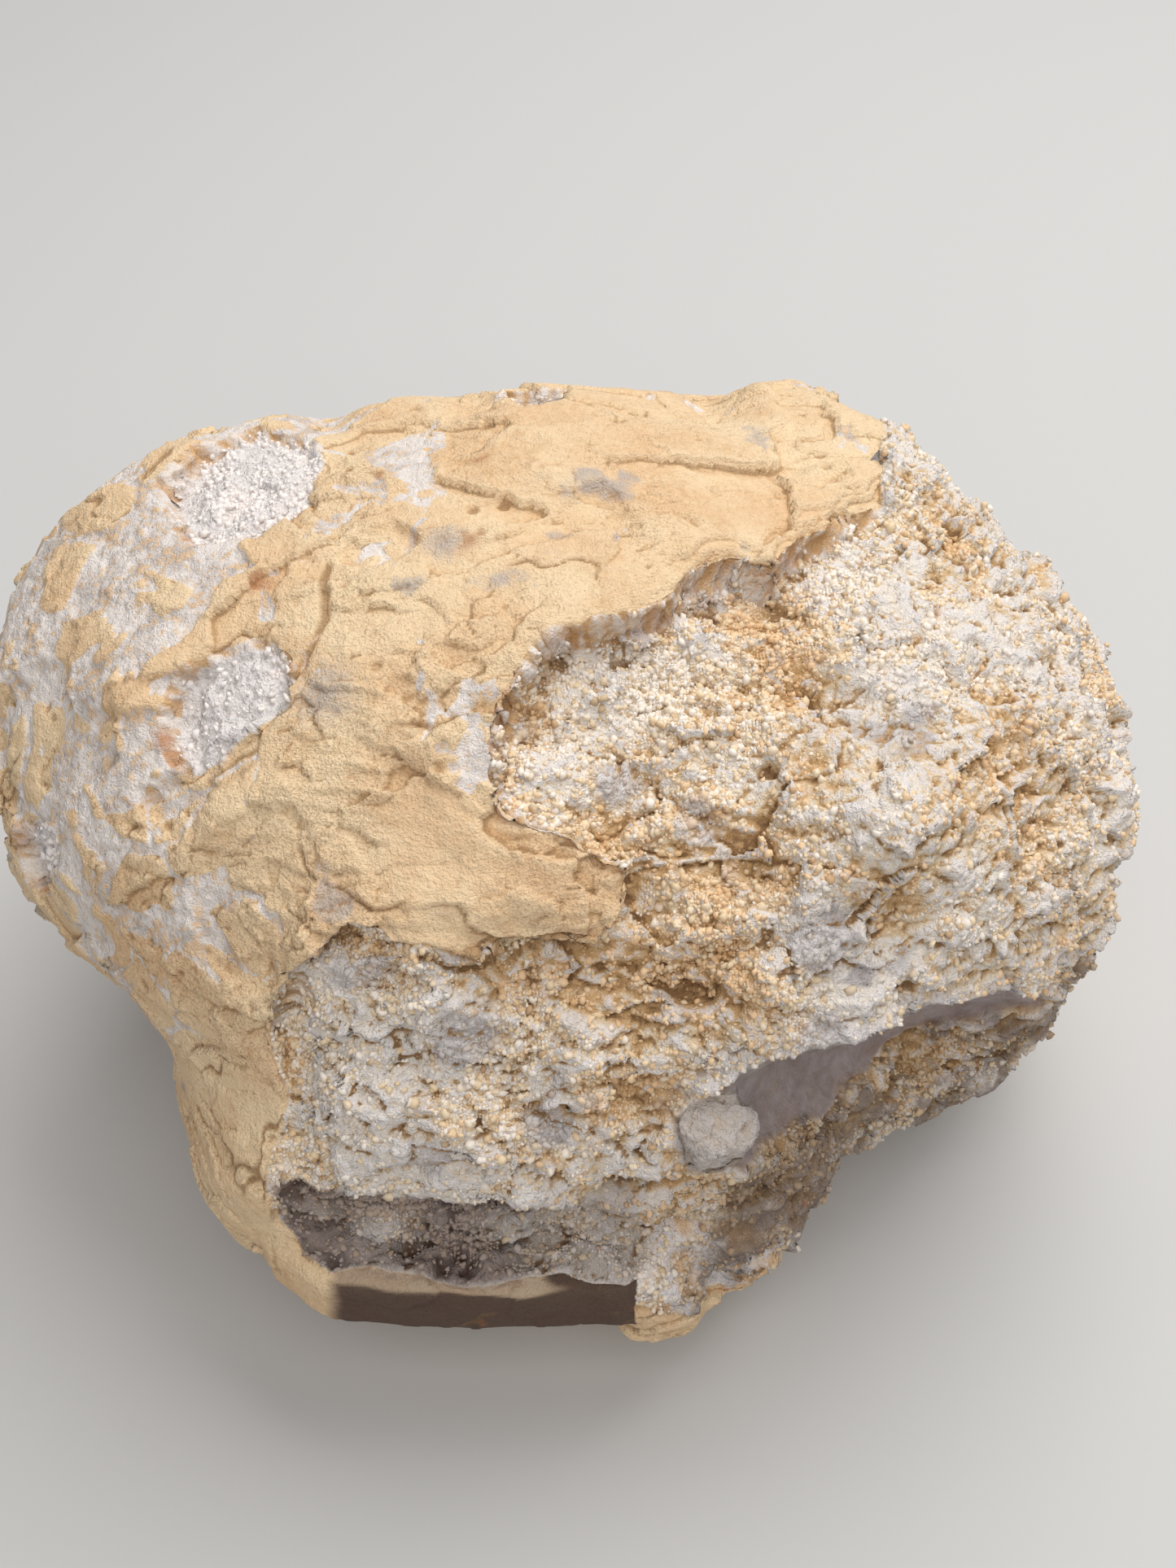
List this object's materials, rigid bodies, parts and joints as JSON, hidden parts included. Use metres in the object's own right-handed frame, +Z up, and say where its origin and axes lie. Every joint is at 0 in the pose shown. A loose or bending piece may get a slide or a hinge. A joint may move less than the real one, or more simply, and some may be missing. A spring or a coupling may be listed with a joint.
{
  "type": "geode",
  "caption": "Whole unopened geode nodule: a lumpy stone with tan clay rind flaked off pale granular chalcedony, lying on a small flat foot.",
  "frame": {"origin": "on the resting plane, under the middle of the stone's bounding box", "axes": "+Z up from the resting plane, +X along the stone's longest extent, -Y the scarred front"},
  "size_m": [0.1616, 0.1361, 0.1026],
  "materials": {
    "stone": "dry powdery tan clay rind over rough sugary white, cream and grey chalcedony, matt"
  },
  "bodies": {
    "root": {"geode": "stone"}
  },
  "joints": []
}
